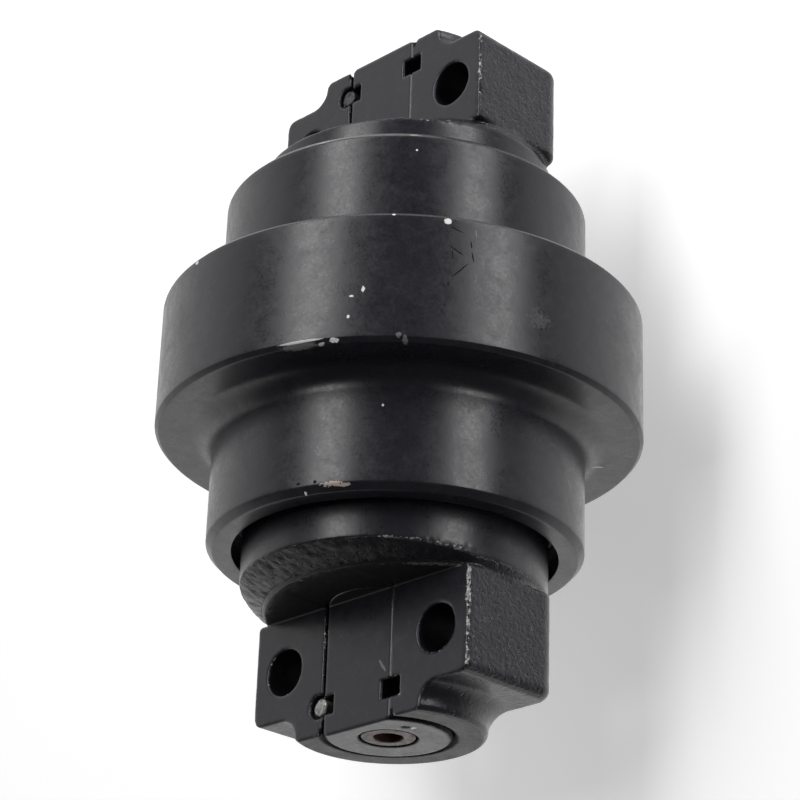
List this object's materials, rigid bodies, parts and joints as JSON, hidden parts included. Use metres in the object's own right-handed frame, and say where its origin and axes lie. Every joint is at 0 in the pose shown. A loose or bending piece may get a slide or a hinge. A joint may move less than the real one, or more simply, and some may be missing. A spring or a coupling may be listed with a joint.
{
  "type": "track roller",
  "caption": "Lower track roller: a flanged roller shell turning on a fixed shaft held by two bolt-on end collars with sealed bearings.",
  "frame": {"origin": "on the roller axis at the middle of its length", "axes": "+Y along the roller axis away from the filler plug, +Z out of the mounting faces, +X across the two rows of bolts"},
  "size_m": [0.1654, 0.251, 0.1654],
  "materials": {
    "shell_paint": "satin black paint over machined steel",
    "collar_paint": "satin black paint over rough casting",
    "shaft_paint": "satin black paint over ground steel",
    "pin_steel": "plain drawn steel",
    "plug_steel": "red-brown primed steel",
    "washer_metal": "soft washer metal",
    "bush_bronze": "turned bronze",
    "seal_iron": "lapped hard iron",
    "seal_rubber": "moulded rubber"
  },
  "bodies": {
    "axle_assembly": {"shaft": "shaft_paint", "filler_plug": "plug_steel", "plug_washer": "washer_metal", "near_collar": "collar_paint", "near_lock_pin": "pin_steel", "near_shaft_ring": "seal_rubber", "near_collar_seal_ring": "seal_iron", "near_collar_toric_ring": "seal_rubber", "far_collar": "collar_paint", "far_lock_pin": "pin_steel", "far_shaft_ring": "seal_rubber", "far_collar_seal_ring": "seal_iron", "far_collar_toric_ring": "seal_rubber"},
    "roller": {"roller_shell": "shell_paint", "near_bush": "bush_bronze", "far_bush": "bush_bronze", "near_shell_seal_ring": "seal_iron", "far_shell_seal_ring": "seal_iron", "near_shell_toric_ring": "seal_rubber", "far_shell_toric_ring": "seal_rubber"}
  },
  "joints": [
    {"name": "roller_spin", "type": "hinge", "parent": "axle_assembly", "child": "roller", "pos_m": [0, 0, 0], "axis": [0, 1, 0], "continuous": true}
  ]
}
